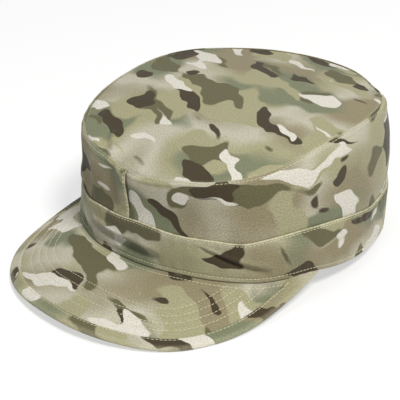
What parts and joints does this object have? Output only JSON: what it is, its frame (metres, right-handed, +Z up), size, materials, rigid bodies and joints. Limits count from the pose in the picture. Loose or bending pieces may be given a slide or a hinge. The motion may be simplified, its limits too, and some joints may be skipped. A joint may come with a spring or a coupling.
{
  "type": "patrol cap",
  "caption": "Soft patrol cap with a domed oval top, tall cloth wall, folded band and a stiff curved peak with a bound edge, resting on a surface.",
  "frame": {"origin": "the point of the floor under the middle of the resting cap's box", "axes": "+Z up, -Y towards the front of the peak, +X towards the wearer's left"},
  "size_m": [0.1918, 0.2596, 0.0954],
  "materials": {
    "crown_cloth": "matt printed cotton blend, fine twill",
    "wall_cloth": "matt printed cotton blend, fine twill",
    "band_cloth": "matt printed cotton blend, folded double",
    "peak_cloth": "matt printed cotton blend over a stiff board",
    "binding_cloth": "matt printed cotton blend, folded strip"
  },
  "bodies": {
    "root": {"crown_top": "crown_cloth", "side_wall": "wall_cloth", "band": "band_cloth", "peak": "peak_cloth", "peak_binding": "binding_cloth"}
  },
  "joints": []
}
